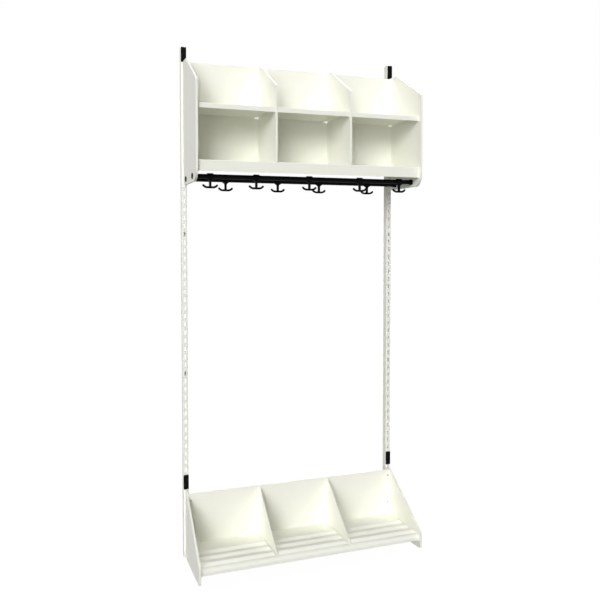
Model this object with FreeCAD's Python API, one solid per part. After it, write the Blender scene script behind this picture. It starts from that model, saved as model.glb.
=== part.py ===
import FreeCAD, Part
import math
import os

V = FreeCAD.Vector

# Frame: X to the right, Y into the wall (wall face at 0), Z up, all in millimetres
# Origin: centre of the wall screws, on the wall face

# Shared sizes
overrun = 2.0
seat_gap = 0.2
half_share = 0.5
sheet_t = 1.0
fold_r = 3.0

# Wall rails
rail_len = 2000.0
rail_spacing = 880.0
rail_w = 20.0
rail_d = 30.0
rail_wall = 1.5
rail_corner_r = 2.5
slot_pitch = 32.0
slot_w = 6.6
slot_h = 16.0
rail_top_margin = 18.0
rail_bottom_margin = 30.0
rail_tab_h = 40.0
rail_tab_t = 2.0
wall_screw_r = 3.0
end_slots = 9
third_share = 1 / 3

# Lift-off locks
lock_len = 55.5
lock_t = 4.0
lock_corner_r = 2.0
lock_top_inset = 3.0
peg_clearance = 0.2
peg_len = 6.0

# Panels that carry both cassettes
panel_t = 8.0
skin_t = 1.0
cassette_gap = 28.0

# Hangers between panels and rails
hanger_insert = 20.0
hanger_inset = 10.0
hanger_rise = 3.0
neck_h = 10.0
hook_lip_drop = 5.5
hook_lip_t = 3.0
hook_clearance = 0.3
neck_clearance = 0.3
ear_len = 22.0
ear_h = 20.0
ear_t = 2.0
screw_from_corner = 10.0
ear_from_end = 40.0
screw_from_top = 25.0
screw_from_floor = 54.0

# Fixing screws
screw_r = 2.0
screw_len = 9.0
screw_head_r = 4.0
screw_head_h = 2.0
screw_clearance = 0.1

# Upper cassette
upper_h = 472.0
upper_depth = 252.0
upper_flat = 42.0
upper_slope_drop = 119.0
upper_corner_r = 46.0
upper_top_r = 8.0
back_drop = 3.0
back_flange = 14.0
divider_drop = 8.0
divider_setback = 12.0
shelf_floor_up = 74.0
cubby_pitch = 199.0
low_lip_h = 40.0
mid_lip_h = 18.0
shelf_flange = 8.0
shelf_lip_setback = 2.0
notch_w = 16.0
notch_d = 10.0
bay_count = 3

# Hook tubes
tube_r = 8.6
tube_wall = 1.5
tube_up = 20.0
tube_from_rear = 40.0
tube_spacing = 142.0
tube_hole_clearance = 0.2
tube_proud = 0.2
collar_len = 10.0
collar_wall = 2.0
plug_len = 12.0
plug_lap = 2.4
plug_rim_t = 3.0
plug_clearance = 0.05

# Sliding hooks
front_hook_shares = (-0.864, -0.473, 0.0, 0.473, 0.861)
rear_hook_shares = (-0.664, -0.186, 0.209, 0.691)
ring_len = 22.0
ring_wall = 3.0
ring_clearance = 0.3
hook_drop = 43.0
arm_r = 4.0
arm_flat = 10.0
arm_bend_r = 20.0
arm_bend_angle = 49.0
stem_w = 8.0
web_h = 5.0
web_inset = 4.0
ring_bevel = 0.8

# Shoe cassette
shoe_h = 253.0
shoe_bottom_inset = 5.0
shoe_depth = 268.0
nose_rise = 28.0
nose_h = 64.0
nose_r = 10.0
shoe_back_rise = 4.0
shoe_divider_t = 2.0
shoe_divider_drop = 4.0
shoe_divider_setback = 10.0
shoe_divider_front_h = 3.0
shoe_divider_flange = 12.0
floor_rear_up = 63.0
floor_front_up = 79.0
floor_fold_r = 13.0
floor_tail = 5.0
lip_setback = 10.0
shoe_lip_h = 22.0
swage_count = 3
swage_rear_margin = 109.0
swage_front_margin = 39.3
swage_w = 36.0
swage_h = 10.0
swage_flank_angle = 40.0
swage_sink = 0.15
swage_run_out = 7.0
swage_end_gap = 1.0

# Derived positions
rail_x = rail_spacing * half_share
inner_x = rail_x - panel_t * half_share
slot_room = rail_len - rail_top_margin - rail_bottom_margin + seat_gap
slot_count = math.floor(slot_room / slot_pitch) + 1
outer_screw_pitches = slot_count - end_slots
inner_screw_pitches = outer_screw_pitches - 2 * round(outer_screw_pitches * third_share)
top_slot_z = (slot_count - 1) * half_share * slot_pitch
rail_top = top_slot_z + rail_top_margin
rail_bottom = rail_top - rail_len
rail_front = -rail_d
rear_y = rail_front - cassette_gap
back_y = rear_y - sheet_t
upper_top = rail_top - lock_top_inset - lock_len - seat_gap - hanger_rise
upper_bottom = upper_top - upper_h
upper_front = rear_y - upper_depth
divider_front = upper_front + divider_setback
low_floor = upper_bottom + shelf_floor_up
mid_floor = low_floor + cubby_pitch
back_top = upper_top - back_drop
tube_z = upper_bottom + tube_up
rear_tube_y = rear_y - tube_from_rear
front_tube_y = rear_tube_y - tube_spacing
shoe_bottom = rail_bottom + shoe_bottom_inset
shoe_top = shoe_bottom + shoe_h
shoe_front = rear_y - shoe_depth
shoe_lip_y = shoe_front + lip_setback
shoe_back_top = shoe_top + shoe_back_rise
floor_rear_z = shoe_bottom + floor_rear_up
floor_front_z = shoe_bottom + floor_front_up
upper_slope = upper_slope_drop / (upper_depth - upper_flat)
shoe_slope = (shoe_h - nose_rise - nose_h) / shoe_depth
shoe_cap_z = shoe_top + cassette_gap * shoe_slope
upper_inner_z = upper_top - max(hanger_insert - upper_flat, 0) * upper_slope
shoe_inner_z = shoe_top - hanger_insert * shoe_slope
hook_front_x = [share * rail_x for share in front_hook_shares]
hook_rear_x = [share * rail_x for share in rear_hook_shares]
bay_pitch = rail_spacing / bay_count
divider_xs = [(i + 1) * bay_pitch - rail_x for i in range(bay_count - 1)]


# Helpers
def block(x0, x1, y0, y1, z0, z1):
    return Part.makeBox(x1 - x0, y1 - y0, z1 - z0, V(x0, y0, z0))


def plate(points, x0, x1):
    wire = Part.makePolygon([V(x0, y, z) for y, z in points + points[:1]])
    return Part.Face(wire).extrude(V(x1 - x0, 0, 0))


def rod(radius, length, start, direction):
    return Part.makeCylinder(radius, length, start, direction)


def slot_at_or_below(z):
    steps = math.floor((z + top_slot_z) / slot_pitch)
    steps = min(max(steps, 0), slot_count - 1)
    return steps * slot_pitch - top_slot_z


def round_edges(shape, radius, wanted):
    edges = [e for e in shape.Edges if wanted(e)]
    return shape.makeFillet(radius, edges)


def round_corners(shape, corners):
    for (y, z), radius in corners:
        shape = round_edges(shape, radius, lambda e: edge_runs_x_at(e, y, z, seat_gap))
    return shape


def edge_runs_x_at(e, y, z, tol):
    a, b = e.Vertexes[0].Point, e.Vertexes[-1].Point
    near = abs(a.y - y) < tol and abs(a.z - z) < tol
    return near and abs(b.y - y) < tol and abs(b.z - z) < tol


# Wall rails: slotted channels, open towards the wall, with screw tabs across the back
def rail_channel(x):
    half_w = rail_w * half_share
    outer = block(x - half_w, x + half_w, rail_front, 0, rail_bottom, rail_top)
    outer = round_edges(outer, rail_corner_r, lambda e: upright_at(e, rail_front))
    half_bore = half_w - rail_wall
    inside = rail_front + rail_wall
    bore = block(x - half_bore, x + half_bore, inside, overrun, rail_bottom - overrun, rail_top + overrun)
    bore = round_edges(bore, rail_corner_r - rail_wall, lambda e: upright_at(e, inside))
    return outer.cut(bore)


def upright_at(e, y):
    a, b = e.Vertexes[0].Point, e.Vertexes[-1].Point
    return abs(a.y - y) < seat_gap and abs(b.y - y) < seat_gap and abs(a.z - b.z) > rail_w


def rail_tab(x, z):
    half_w = (rail_w - rail_wall) * half_share
    half_h = rail_tab_h * half_share
    return block(x - half_w, x + half_w, -rail_tab_t, 0, z - half_h, z + half_h)


def rail(side):
    x = side * rail_x
    half_slot = slot_w * half_share
    half_h = slot_h * half_share
    through = rail_tab_t + overrun + overrun
    tabs = []
    cuts = []
    for pitches in (-outer_screw_pitches, -inner_screw_pitches, inner_screw_pitches, outer_screw_pitches):
        z = pitches * slot_pitch * half_share
        tabs.append(rail_tab(x, z))
        cuts.append(rod(wall_screw_r, through, V(x, -rail_tab_t - overrun, z), V(0, 1, 0)))
    for k in range(slot_count):
        z = k * slot_pitch - top_slot_z
        cuts.append(block(x - half_slot, x + half_slot, rail_front - overrun, rail_front + rail_wall + overrun,
                          z - half_h, z + half_h))
    return rail_channel(x).fuse(tabs).removeSplitter().cut(cuts)


# Lift-off locks
def lock(side, z_bottom):
    x = side * rail_x
    half_w = rail_w * half_share
    z_top = z_bottom + lock_len
    body = block(x - half_w, x + half_w, rail_front - lock_t, rail_front, z_bottom, z_top)
    body = round_edges(body, lock_corner_r, lambda e: abs(e.Vertexes[0].Y - e.Vertexes[-1].Y) > seat_gap)
    z = slot_at_or_below(z_top - slot_h * half_share)
    peg_half_w = slot_w * half_share - peg_clearance
    peg_half_h = slot_h * half_share - peg_clearance
    peg = block(x - peg_half_w, x + peg_half_w, rail_front - lock_t * half_share, rail_front + peg_len,
                z - peg_half_h, z + peg_half_h)
    return body.fuse(peg).removeSplitter()


# Double-skinned panels, hollow and open towards the wall
def hollow(points, x0, x1, roundings):
    solid = plate(points, x0, x1)
    rear = max(y for y, z in points)
    solid = round_corners(solid, roundings)
    face = [f for f in solid.Faces if abs(f.CenterOfMass.x - x0) < seat_gap][0]
    core = face.makeOffset2D(-skin_t).extrude(V(x1 - x0 - skin_t - skin_t, 0, 0))
    core.translate(V(skin_t, 0, 0))
    mouth = [f for f in core.Faces if abs(f.CenterOfMass.y - rear + skin_t) < seat_gap][0]
    return solid.cut([core, mouth.extrude(V(0, skin_t + overrun, 0))])


# Hangers that hook into the rail slots
def hanger_plate(x, half_t, z0, z_rear, z_rail, z_inner):
    y_in = rear_y - hanger_insert
    z_in = z_inner - skin_t - skin_t - seat_gap
    pts = [(rail_front, z0), (rail_front, z_rail), (rear_y, z_rear), (rear_y, z_in), (y_in, z_in), (y_in, z0)]
    return plate(pts, x - half_t, x + half_t)


def hanger_hooks(x, z0, z1):
    half_h = slot_h * half_share
    half_t = slot_w * half_share - neck_clearance
    top = slot_at_or_below(z1 - half_h)
    low = slot_at_or_below(z0 + slot_pitch + half_h)
    mid = slot_at_or_below((top + low) * half_share)
    inside = rail_front + rail_wall + hook_clearance
    tip = inside + hook_lip_t
    hooks = []
    for z in sorted({top, mid, low}):
        sill = z - half_h
        hooks.append(block(x - half_t, x + half_t, rail_front - overrun, tip, sill, sill + neck_h))
        hooks.append(block(x - half_t, x + half_t, inside, tip, sill - hook_lip_drop, sill + neck_h))
    return hooks


def hanger_ears(side, half_t, zs):
    x = side * rail_x
    half_ear = ear_h * half_share
    ends = sorted((x, x - side * (half_t + ear_len)))
    return [block(ends[0], ends[1], rear_y, rear_y + ear_t, z - half_ear, z + half_ear) for z in zs]


def screw_holes(side, depth, zs):
    length = depth + overrun + overrun
    start = rear_y - depth - overrun
    return [rod(screw_r + screw_clearance, length, V(side * screw_x, start, z), V(0, 1, 0)) for z in zs]


def upper_hanger(side):
    x = side * rail_x
    half_t = panel_t * half_share - skin_t
    z0 = upper_bottom + hanger_inset
    z_cap = upper_top + hanger_rise
    body = hanger_plate(x, half_t, z0, z_cap, z_cap, upper_inner_z)
    ears = hanger_ears(side, half_t, (upper_top - ear_from_end, low_floor + ear_from_end))
    return body.fuse(hanger_hooks(x, z0, upper_top) + ears).removeSplitter()


def shoe_hanger(side):
    x = side * rail_x
    half_t = panel_t * half_share - skin_t
    z0 = shoe_bottom + hanger_inset
    body = hanger_plate(x, half_t, z0, shoe_top, shoe_cap_z, shoe_inner_z)
    ears = hanger_ears(side, half_t, shoe_screw_zs)
    solid = body.fuse(hanger_hooks(x, z0, shoe_top) + ears)
    return solid.cut(screw_holes(side, ear_t + overrun, shoe_screw_zs)).removeSplitter()


screw_x = inner_x - screw_from_corner
shoe_screw_zs = (shoe_back_top - screw_from_top, floor_rear_z + screw_from_floor)


def fixing_screw(side, z):
    x = side * screw_x
    head = rod(screw_head_r, screw_head_h, V(x, back_y - screw_head_h, z), V(0, 1, 0))
    front = back_y - screw_head_h * half_share
    rim = [e for e in head.Edges if e.CenterOfMass.y < front and len(e.Vertexes) == 1]
    head = head.makeChamfer(screw_head_h * half_share, rim)
    return head.fuse(rod(screw_r, screw_len, V(x, back_y, z), V(0, 1, 0))).removeSplitter()


# Back panels, folded towards the wall along both edges
def back_panel(z0, z1, screw_zs):
    x1 = inner_x - seat_gap
    rear = rear_y + back_flange
    web = block(-x1, x1, back_y, rear_y, z0, z1)
    top = block(-x1, x1, back_y, rear, z1 - sheet_t, z1)
    low = block(-x1, x1, back_y, rear, z0, z0 + sheet_t)
    inner_r = fold_r - sheet_t
    folds = [((back_y, z1), fold_r), ((rear_y, z1 - sheet_t), inner_r)]
    folds += [((back_y, z0), fold_r), ((rear_y, z0 + sheet_t), inner_r)]
    sheet = round_corners(web.fuse([top, low]).removeSplitter(), folds)
    holes = screw_holes(-1, sheet_t, screw_zs) + screw_holes(1, sheet_t, screw_zs)
    return sheet.cut(holes) if holes else sheet


# Upper cassette
def upper_panel(side):
    x0 = side * rail_x - panel_t * half_share
    slope_y = rear_y - upper_flat
    slope_z = upper_top - upper_slope_drop
    pts = [(rear_y, upper_bottom), (upper_front, upper_bottom), (upper_front, slope_z), (slope_y, upper_top),
           (rear_y, upper_top)]
    shape = hollow(pts, x0, x0 + panel_t, [((upper_front, upper_bottom), upper_corner_r),
                                          ((upper_front, slope_z), upper_top_r)])
    bores = []
    for y in (rear_tube_y, front_tube_y):
        bores.append(rod(tube_r + tube_hole_clearance, panel_t + overrun + overrun, V(x0 - overrun, y, tube_z),
                         V(1, 0, 0)))
    return shape.cut(bores)


def upper_divider(x):
    x0 = x - panel_t * half_share
    rear = back_y - seat_gap
    z_top = upper_top - divider_drop
    slope_y = rear_y - upper_flat
    run_share = (slope_y - divider_front) / (slope_y - upper_front)
    slope_z = z_top - upper_slope_drop * run_share
    z0 = low_floor + seat_gap
    pts = [(rear, z0), (divider_front, z0), (divider_front, slope_z), (slope_y, z_top), (rear, z_top)]
    return hollow(pts, x0, x0 + panel_t, [])


def folded_floor(x0, x1, z, lip_h, lip_y, rear):
    floor = block(x0, x1, lip_y, rear, z - sheet_t, z)
    lip = block(x0, x1, lip_y, lip_y + sheet_t, z - lip_h, z)
    folds = [((lip_y, z), fold_r), ((lip_y + sheet_t, z - sheet_t), fold_r - sheet_t)]
    return round_corners(floor.fuse(lip).removeSplitter(), folds)


def shelf_tray(x0, x1, z, lip_h, lip_y, notched):
    rear = back_y - seat_gap
    y_in = rear - notch_d
    low = z - shelf_flange
    flanges = [block(x0 + notch_w, x1 - notch_w, rear - sheet_t, rear, low, z)]
    for a in (x0, x1 - sheet_t):
        flanges.append(block(a, a + sheet_t, lip_y + fold_r, y_in, low, z))
    tray = folded_floor(x0, x1, z, lip_h, lip_y, rear).fuse(flanges)
    if notched:
        for a, b in ((x0 - overrun, x0 + notch_w), (x1 - notch_w, x1 + overrun)):
            tray = tray.cut(block(a, b, y_in, rear + overrun, low - overrun, z + overrun))
    return tray.removeSplitter()


def mid_shelf(i):
    x0 = i * bay_pitch - rail_x + panel_t * half_share + seat_gap
    x1 = (i + 1) * bay_pitch - rail_x - panel_t * half_share - seat_gap
    return shelf_tray(x0, x1, mid_floor, mid_lip_h, divider_front + shelf_lip_setback, True)


def bottom_shelf():
    x1 = inner_x - seat_gap
    return shelf_tray(-x1, x1, low_floor, low_lip_h, divider_front, False)


# Hook tubes with collars and end plugs
def hook_tube(y):
    end = rail_x + panel_t * half_share + tube_proud
    outer = rod(tube_r, end + end, V(-end, y, tube_z), V(1, 0, 0))
    bore = rod(tube_r - tube_wall, end + end + overrun + overrun, V(-end - overrun, y, tube_z), V(1, 0, 0))
    return outer.cut(bore)


def tube_collar(side, y):
    start = V(side * (inner_x - seat_gap), y, tube_z)
    inward = V(-side, 0, 0)
    ring = rod(tube_r + collar_wall, collar_len, start, inward)
    bore = rod(tube_r + plug_clearance, collar_len + overrun + overrun, start - inward * overrun, inward)
    return ring.cut(bore)


def tube_plug(side, y):
    end = rail_x + panel_t * half_share + tube_proud
    inward = V(-side, 0, 0)
    rim = rod(tube_r + plug_lap, plug_rim_t, V(side * (end + plug_rim_t), y, tube_z), inward)
    stub = rod(tube_r - tube_wall - plug_clearance, plug_len, V(side * end, y, tube_z), inward)
    middle = end + plug_rim_t * half_share
    edge = [e for e in rim.Edges if abs(e.CenterOfMass.x) > middle and len(e.Vertexes) == 1]
    rim = rim.makeChamfer(plug_rim_t * half_share, edge)
    return rim.fuse(stub).removeSplitter()


# Sliding double hooks, drawn once around a tube axis through the origin
def hook_arms():
    arm_z = arm_r - hook_drop
    across = V(0, 1, 0)
    bends = []
    for sign in (-1, 1):
        start = V(sign * arm_flat, 0, arm_z)
        pivot = start + V(0, 0, arm_bend_r)
        section = Part.Face(Part.Wire(Part.makeCircle(arm_r, start, V(1, 0, 0))))
        bends.append(section.revolve(pivot, across, -sign * arm_bend_angle))
        tip = Part.makeSphere(arm_r, start, V(sign, 0, 0), 0, 90)
        tip.rotate(pivot, across, -sign * arm_bend_angle)
        bends.append(tip)
    return rod(arm_r, arm_flat + arm_flat, V(-arm_flat, 0, arm_z), V(1, 0, 0)).fuse(bends)


def hook_web(ring_r):
    half_stem = stem_w * half_share
    half_web = ring_len * half_share - web_inset
    z_neck = -ring_r - web_h
    arm_z = arm_r - hook_drop
    right = [(half_web, -tube_r), (half_web, -ring_r), (half_stem, z_neck), (half_stem, arm_z)]
    outline = right + [(-x, z) for x, z in reversed(right)]
    wire = Part.makePolygon([V(x, -half_stem, z) for x, z in outline + outline[:1]])
    return Part.Face(wire).extrude(V(0, stem_w, 0))


def hook_shape():
    half_len = ring_len * half_share
    bore_r = tube_r + ring_clearance
    ring_r = bore_r + ring_wall
    ring = rod(ring_r, ring_len, V(-half_len, 0, 0), V(1, 0, 0))
    ring = ring.makeChamfer(ring_bevel, [e for e in ring.Edges if len(e.Vertexes) == 1])
    bore = rod(bore_r, ring_len + overrun + overrun, V(-half_len - overrun, 0, 0), V(1, 0, 0))
    return ring.fuse([hook_web(ring_r), hook_arms()]).cut(bore).removeSplitter()


def sliding_hook(x, y):
    shape = hook_shape()
    shape.translate(V(x, y, tube_z))
    return shape


# Shoe cassette
def shoe_panel(side):
    x0 = side * rail_x - panel_t * half_share
    nose_low = shoe_bottom + nose_rise
    nose_top = nose_low + nose_h
    pts = [(rear_y, shoe_bottom), (shoe_front, nose_low), (shoe_front, nose_top), (rear_y, shoe_top)]
    return hollow(pts, x0, x0 + panel_t, [((shoe_front, nose_low), nose_r), ((shoe_front, nose_top), nose_r)])


def floor_point(s, h):
    run = back_y - seat_gap - shoe_lip_y
    rise = floor_front_z - floor_rear_z
    length = math.hypot(run, rise)
    c, t = run / length, rise / length
    return V(0, back_y - seat_gap - s * c - h * t, floor_rear_z + s * t + h * c)


def floor_length():
    return math.hypot(back_y - seat_gap - shoe_lip_y, floor_front_z - floor_rear_z)


# Shoe floor: a folded sheet with raised hollow swages, the same in each bay
def swage_edges(mid, base):
    half_w = swage_w * half_share
    sin = math.sin(math.radians(swage_flank_angle))
    cos = math.cos(math.radians(swage_flank_angle))
    radius = (half_w * sin - swage_h * cos) / (1 - cos) * half_share
    toe = (radius * sin, radius * (1 - cos))
    bend = math.sin(math.radians(swage_flank_angle * half_share)) * radius
    dip = radius - math.sqrt(radius * radius - bend * bend)
    top = base + swage_h
    edges = []
    for side in (-1, 1):
        at = lambda s, h: floor_point(mid + side * s, h)
        low, knee = at(half_w - toe[0], base + toe[1]), at(toe[0], top - toe[1])
        edges.append(Part.Arc(at(half_w, base), at(half_w - bend, base + dip), low).toShape())
        edges.append(Part.makeLine(low, knee))
        edges.append(Part.Arc(knee, at(bend, top - dip), at(0, top)).toShape())
    return edges


def swage_bar(x0, x1, mid, base, foot):
    half_w = swage_w * half_share
    places = [(half_w, base), (half_w, -foot), (-half_w, -foot), (-half_w, base)]
    pts = [floor_point(mid + s, h) for s, h in places]
    sides = [Part.makeLine(a, b) for a, b in zip(pts, pts[1:])]
    wire = Part.Wire(Part.__sortEdges__(swage_edges(mid, base) + sides))
    bar = Part.Face(wire).extrude(V(x1 - x0, 0, 0))
    bar.translate(V(x0, 0, 0))
    return bar


def swage_ends(x0, x1, mid, base, foot):
    lean = swage_run_out / swage_h
    half_w = swage_w * half_share + overrun
    top = swage_h + overrun
    corners = []
    for h in (-foot, top):
        inset = (h - base) * lean
        row = [(x0 + inset, h), (x1 - inset, h)]
        corners += row if h < 0 else row[::-1]
    pts = [floor_point(mid - half_w, h) + V(x, 0, 0) for x, h in corners]
    face = Part.Face(Part.makePolygon(pts + pts[:1]))
    return face.extrude(floor_point(half_w + half_w, 0) - floor_point(0, 0))


def swages(drop, foot):
    pitch = (floor_length() - swage_rear_margin - swage_front_margin) / (swage_count - 1)
    edge = panel_t * half_share + swage_end_gap
    out = []
    for bay in range(bay_count):
        x0 = bay * bay_pitch - rail_x + edge
        x1 = x0 + bay_pitch - edge - edge
        for i in range(swage_count):
            spot = (x0, x1, swage_rear_margin + i * pitch, -swage_sink - drop, foot)
            out.append(swage_bar(*spot).common(swage_ends(*spot)))
    return out


def shoe_floor():
    length = floor_length()
    tip = floor_point(length, 0)
    tip_in = floor_point(length - sheet_t, -sheet_t)
    low = tip.z - shoe_lip_h
    top, under = floor_point(0, 0), floor_point(0, -sheet_t)
    outline = [(top.y, top.z), (tip.y, tip.z), (tip.y, low), (tip_in.y, low), (tip_in.y, tip_in.z),
               (under.y, under.z)]
    x1 = inner_x - seat_gap
    folds = [((tip.y, tip.z), floor_fold_r), ((tip_in.y, tip_in.z), floor_fold_r - sheet_t)]
    sheet = round_corners(plate(outline, -x1, x1), folds)
    raised = sheet.fuse(swages(0, sheet_t * half_share))
    return raised.cut(swages(sheet_t, sheet_t + overrun)).removeSplitter()


# Shoe dividers: single sheets with a flange on the right against the back panel
def on_floor(y, up):
    share = (back_y - seat_gap - y) / (back_y - seat_gap - shoe_lip_y)
    return (y, floor_rear_z + (floor_front_z - floor_rear_z) * share + seat_gap + up)


def shoe_divider(x):
    x0 = x - shoe_divider_t * half_share
    x2 = x0 + shoe_divider_flange
    rear = back_y - seat_gap
    front = shoe_lip_y + shoe_divider_setback
    z_top = shoe_back_top - shoe_divider_drop
    outline = [on_floor(rear, 0), on_floor(front, 0), on_floor(front, shoe_divider_front_h), (rear, z_top)]
    web = plate(outline, x0, x0 + shoe_divider_t)
    z_back = z_top - shoe_divider_flange
    inner = rear - sheet_t
    back = plate([on_floor(rear, 0), on_floor(inner, 0), (inner, z_back), (rear, z_back)], x0, x2)
    return web.fuse(back).removeSplitter()


# All pieces under their names
def pieces():
    out = {}
    for name, side in (("left", -1), ("right", 1)):
        out[name + "_rail"] = rail(side)
        out["upper_" + name + "_lock"] = lock(side, upper_top + hanger_rise + seat_gap)
        out["lower_" + name + "_lock"] = lock(side, shoe_cap_z + seat_gap)
        out["upper_" + name + "_hanger"] = upper_hanger(side)
        out["shoe_" + name + "_hanger"] = shoe_hanger(side)
        out["upper_" + name + "_panel"] = upper_panel(side)
        out["shoe_" + name + "_panel"] = shoe_panel(side)
        for tube, y in (("front", front_tube_y), ("rear", rear_tube_y)):
            out[tube + "_tube_" + name + "_collar"] = tube_collar(side, y)
            out[tube + "_tube_" + name + "_plug"] = tube_plug(side, y)
        for place, z in zip(("high", "low"), shoe_screw_zs):
            out["shoe_" + name + "_" + place + "_screw"] = fixing_screw(side, z)
    out["upper_back_panel"] = back_panel(low_floor, back_top, ())
    out["shoe_back_panel"] = back_panel(floor_rear_z - sheet_t - floor_tail, shoe_back_top, shoe_screw_zs)
    for i, x in enumerate(divider_xs):
        out["upper_divider_%d" % (i + 1)] = upper_divider(x)
        out["shoe_divider_%d" % (i + 1)] = shoe_divider(x)
    for i in range(bay_count):
        out["mid_shelf_%d" % (i + 1)] = mid_shelf(i)
    out["bottom_shelf"] = bottom_shelf()
    out["front_hook_tube"] = hook_tube(front_tube_y)
    out["rear_hook_tube"] = hook_tube(rear_tube_y)
    for i, x in enumerate(hook_front_x):
        out["front_hook_%d" % (i + 1)] = sliding_hook(x, front_tube_y)
    for i, x in enumerate(hook_rear_x):
        out["rear_hook_%d" % (i + 1)] = sliding_hook(x, rear_tube_y)
    out["shoe_floor"] = shoe_floor()
    return out


os.makedirs("parts", exist_ok=True)
for node, shape in pieces().items():
    shape.exportStep("parts/" + node + ".step")
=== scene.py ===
import math

import bpy
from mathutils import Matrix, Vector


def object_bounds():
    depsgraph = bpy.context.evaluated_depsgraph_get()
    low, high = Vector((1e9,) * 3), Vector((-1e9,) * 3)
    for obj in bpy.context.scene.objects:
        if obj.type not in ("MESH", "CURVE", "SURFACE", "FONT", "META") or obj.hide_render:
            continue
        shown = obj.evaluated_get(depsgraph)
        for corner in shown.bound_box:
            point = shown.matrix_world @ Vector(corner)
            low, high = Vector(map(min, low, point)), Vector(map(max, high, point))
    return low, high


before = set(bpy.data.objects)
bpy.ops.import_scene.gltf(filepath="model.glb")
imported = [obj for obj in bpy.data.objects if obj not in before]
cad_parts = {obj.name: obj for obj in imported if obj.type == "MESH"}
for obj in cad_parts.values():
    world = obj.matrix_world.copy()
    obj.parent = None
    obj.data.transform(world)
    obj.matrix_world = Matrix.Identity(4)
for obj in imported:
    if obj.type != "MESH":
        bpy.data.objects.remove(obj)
cad_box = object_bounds()

# Camera, as the photograph was taken (metres, degrees, photograph 600 pixels square)
photo_px = 600
sensor_mm = 36.0
focal_px = 665.36
centre_px = (300.67, 259.26)
camera_at = (-0.8560, -2.6250, 0.2684)
camera_yaw = 19.00
camera_pitch = 2.07

# Turn that makes a camera or lamp level, because each starts out facing straight down
level_turn = 90.0

# Light: soft lamps in front on the left, one overhead, two for the sides that the photograph hides
# name: (azimuth from the front, positive to the right; elevation; spread; strength)
lamps = {
    "key": (-25.0, 20.0, 28.0, 1.36),
    "low_key": (-34.0, 4.5, 34.0, 0.86),
    "side": (-48.0, 22.0, 30.0, 0.51),
    "low_side": (-65.0, 0.0, 28.0, 0.24),
    "top": (-5.0, 80.0, 28.0, 0.77),
    "back": (152.0, 28.0, 30.0, 1.30),
    "far_side": (108.0, 15.0, 30.0, 1.10),
}
lamp_colour = (1.0, 1.0, 1.0)
backdrop_colour = (1.0, 1.0, 1.0, 1.0)
ambient_colour = (1.0, 1.0, 1.0, 1.0)
ambient_strength = 0.02

# Floor just under the lowest edge, white to the camera with a faint shadow left in
floor_half = 8.0
floor_gap = 0.001
floor_colour = (0.15, 0.15, 0.15, 1.0)
floor_roughness = 1.0
floor_glow = 1.92
shadow_share = 0.5

# Finishes: linear colours, and the smoothest and roughest spots of each
ivory = (0.955, 0.96, 0.868, 1.0)
ivory_shade = (0.94, 0.945, 0.852, 1.0)
ivory_roughness = (0.38, 0.46)
black = (0.003, 0.003, 0.003, 1.0)
black_paler = (0.005, 0.005, 0.005, 1.0)
black_coat_roughness = (0.38, 0.48)
black_plastic_roughness = (0.42, 0.58)
black_gloss = 0.05
zinc = (0.52, 0.53, 0.53, 1.0)
zinc_shade = (0.40, 0.41, 0.42, 1.0)
zinc_roughness = (0.28, 0.42)
zinc_metallic = 1.0

# Grain of the finishes: (noise scale per metre, noise detail), with bump depths in metres
coat_tone_grain = (3.0, 2.0)
coat_sheen_grain = (60.0, 2.0)
coat_peel_grain = (900.0, 2.0)
coat_peel_strength = 0.12
coat_peel_depth = 0.0002
plastic_tone_grain = (25.0, 2.0)
plastic_sheen_grain = (200.0, 3.0)
plastic_spark_grain = (2500.0, 3.0)
plastic_spark_strength = 0.2
plastic_spark_depth = 0.0001
zinc_tone_grain = (400.0, 3.0)
zinc_sheen_grain = (900.0, 2.0)


# Node helpers
def new_material(name):
    material = bpy.data.materials.new(name)
    material.use_nodes = True
    tree = material.node_tree
    shader = tree.nodes["Principled BSDF"]
    return material, tree, shader


def object_noise(tree, grain):
    scale, detail = grain
    coordinates = tree.nodes.new("ShaderNodeTexCoord")
    noise = tree.nodes.new("ShaderNodeTexNoise")
    noise.inputs["Scale"].default_value = scale
    noise.inputs["Detail"].default_value = detail
    tree.links.new(coordinates.outputs["Object"], noise.inputs["Vector"])
    return noise


def vary_colour(tree, shader, grain, low, high):
    noise = object_noise(tree, grain)
    ramp = tree.nodes.new("ShaderNodeValToRGB")
    ramp.color_ramp.elements[0].color = low
    ramp.color_ramp.elements[1].color = high
    tree.links.new(noise.outputs["Fac"], ramp.inputs["Fac"])
    tree.links.new(ramp.outputs["Color"], shader.inputs["Base Color"])


def vary_roughness(tree, shader, grain, limits):
    smoothest, roughest = limits
    noise = object_noise(tree, grain)
    spread = tree.nodes.new("ShaderNodeMapRange")
    spread.inputs["To Min"].default_value = smoothest
    spread.inputs["To Max"].default_value = roughest
    tree.links.new(noise.outputs["Fac"], spread.inputs["Value"])
    tree.links.new(spread.outputs["Result"], shader.inputs["Roughness"])


def add_bump(tree, shader, grain, strength, depth):
    noise = object_noise(tree, grain)
    bump = tree.nodes.new("ShaderNodeBump")
    bump.inputs["Strength"].default_value = strength
    bump.inputs["Distance"].default_value = depth
    tree.links.new(noise.outputs["Fac"], bump.inputs["Height"])
    tree.links.new(bump.outputs["Normal"], shader.inputs["Normal"])


# Powder coat: slight tone drift, fine orange peel
def powder_coat(name, low, high, roughness):
    material, tree, shader = new_material(name)
    vary_colour(tree, shader, coat_tone_grain, low, high)
    vary_roughness(tree, shader, coat_sheen_grain, roughness)
    add_bump(tree, shader, coat_peel_grain, coat_peel_strength, coat_peel_depth)
    return material


# Moulded plastic: fine spark-eroded grain
def moulded_plastic(name, low, high, roughness):
    material, tree, shader = new_material(name)
    vary_colour(tree, shader, plastic_tone_grain, low, high)
    vary_roughness(tree, shader, plastic_sheen_grain, roughness)
    add_bump(tree, shader, plastic_spark_grain, plastic_spark_strength, plastic_spark_depth)
    return material


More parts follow.
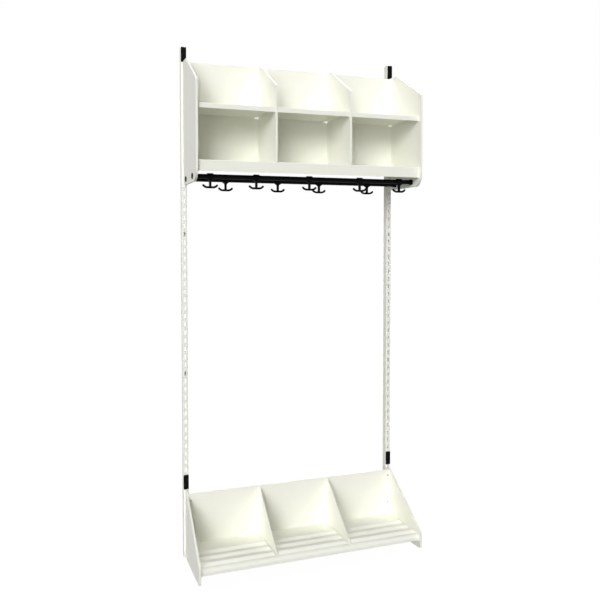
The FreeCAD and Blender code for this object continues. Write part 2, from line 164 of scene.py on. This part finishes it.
# Zinc plating: cloudy tone, bright metal
def zinc_plating(name):
    material, tree, shader = new_material(name)
    shader.inputs["Metallic"].default_value = zinc_metallic
    vary_colour(tree, shader, zinc_tone_grain, zinc_shade, zinc)
    vary_roughness(tree, shader, zinc_sheen_grain, zinc_roughness)
    return material


# One look for each material slot of the frame, with little gloss on the black ones
looks = {
    "ivory_coat": powder_coat("ivory_powder_coat", ivory_shade, ivory, ivory_roughness),
    "black_coat": powder_coat("black_powder_coat", black, black_paler, black_coat_roughness),
    "black_plastic": moulded_plastic("black_moulded_plastic", black, black_paler, black_plastic_roughness),
    "zinc_screw": zinc_plating("zinc_plating"),
}
for look_name in ("black_coat", "black_plastic"):
    black_shader = looks[look_name].node_tree.nodes["Principled BSDF"]
    black_shader.inputs["Specular IOR Level"].default_value = black_gloss
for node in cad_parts.values():
    for slot in node.material_slots:
        slot.material = looks[slot.material.name]


# Camera
def make_camera():
    middle_px = photo_px / 2
    data = bpy.data.cameras.new("camera")
    data.sensor_width = sensor_mm
    data.lens = focal_px / photo_px * sensor_mm
    data.shift_x = (middle_px - centre_px[0]) / photo_px
    data.shift_y = (centre_px[1] - middle_px) / photo_px
    camera = bpy.data.objects.new("camera", data)
    camera.location = camera_at
    camera.rotation_euler = (math.radians(level_turn - camera_pitch), 0, math.radians(-camera_yaw))
    bpy.context.scene.collection.objects.link(camera)
    bpy.context.scene.camera = camera


# One for what the camera, gloss and glass see, zero for all other light
def seen_directly(tree):
    path = tree.nodes.new("ShaderNodeLightPath")
    total = path.outputs["Is Camera Ray"]
    for ray in ("Is Glossy Ray", "Is Transmission Ray"):
        larger = tree.nodes.new("ShaderNodeMath")
        larger.operation = "MAXIMUM"
        tree.links.new(total, larger.inputs[0])
        tree.links.new(path.outputs[ray], larger.inputs[1])
        total = larger.outputs[0]
    return total


# White backdrop where it is seen directly, faint ambient light otherwise
def make_world():
    world = bpy.data.worlds.new("studio")
    world.use_nodes = True
    tree = world.node_tree
    tree.nodes.clear()
    seen = tree.nodes.new("ShaderNodeBackground")
    seen.inputs["Color"].default_value = backdrop_colour
    light = tree.nodes.new("ShaderNodeBackground")
    light.inputs["Color"].default_value = ambient_colour
    light.inputs["Strength"].default_value = ambient_strength
    mix = tree.nodes.new("ShaderNodeMixShader")
    out = tree.nodes.new("ShaderNodeOutputWorld")
    tree.links.new(seen_directly(tree), mix.inputs["Fac"])
    tree.links.new(light.outputs["Background"], mix.inputs[1])
    tree.links.new(seen.outputs["Background"], mix.inputs[2])
    tree.links.new(mix.outputs["Shader"], out.inputs["Surface"])
    bpy.context.scene.world = world


def make_lamp(name, azimuth, elevation, spread, strength):
    data = bpy.data.lights.new(name, "SUN")
    data.color = lamp_colour
    data.energy = strength
    data.angle = math.radians(spread)
    lamp = bpy.data.objects.new(name, data)
    lamp.rotation_euler = (math.radians(level_turn - elevation), 0, math.radians(azimuth))
    bpy.context.scene.collection.objects.link(lamp)


# Glow over the floor where it is seen directly, with a share of its shading kept
def floor_material():
    material, tree, shader = new_material("pale_floor")
    shader.inputs["Base Color"].default_value = floor_colour
    shader.inputs["Roughness"].default_value = floor_roughness
    glow = tree.nodes.new("ShaderNodeEmission")
    glow.inputs["Strength"].default_value = floor_glow
    glow_share = tree.nodes.new("ShaderNodeMath")
    glow_share.operation = "MULTIPLY"
    glow_share.inputs[1].default_value = 1.0 - shadow_share
    mix = tree.nodes.new("ShaderNodeMixShader")
    out = tree.nodes["Material Output"]
    tree.links.new(seen_directly(tree), glow_share.inputs[0])
    tree.links.new(glow_share.outputs[0], mix.inputs["Fac"])
    tree.links.new(shader.outputs["BSDF"], mix.inputs[1])
    tree.links.new(glow.outputs["Emission"], mix.inputs[2])
    tree.links.new(mix.outputs["Shader"], out.inputs["Surface"])
    return material


def make_floor():
    z = cad_box[0].z - floor_gap
    corners = [(-floor_half, -floor_half, z), (floor_half, -floor_half, z),
               (floor_half, floor_half, z), (-floor_half, floor_half, z)]
    mesh = bpy.data.meshes.new("floor")
    mesh.from_pydata(corners, [], [(0, 1, 2, 3)])
    mesh.materials.append(floor_material())
    floor = bpy.data.objects.new("floor", mesh)
    bpy.context.scene.collection.objects.link(floor)


make_camera()
make_world()
for lamp_name, setting in lamps.items():
    make_lamp(lamp_name, *setting)
make_floor()
bpy.context.scene.view_settings.view_transform = "Standard"
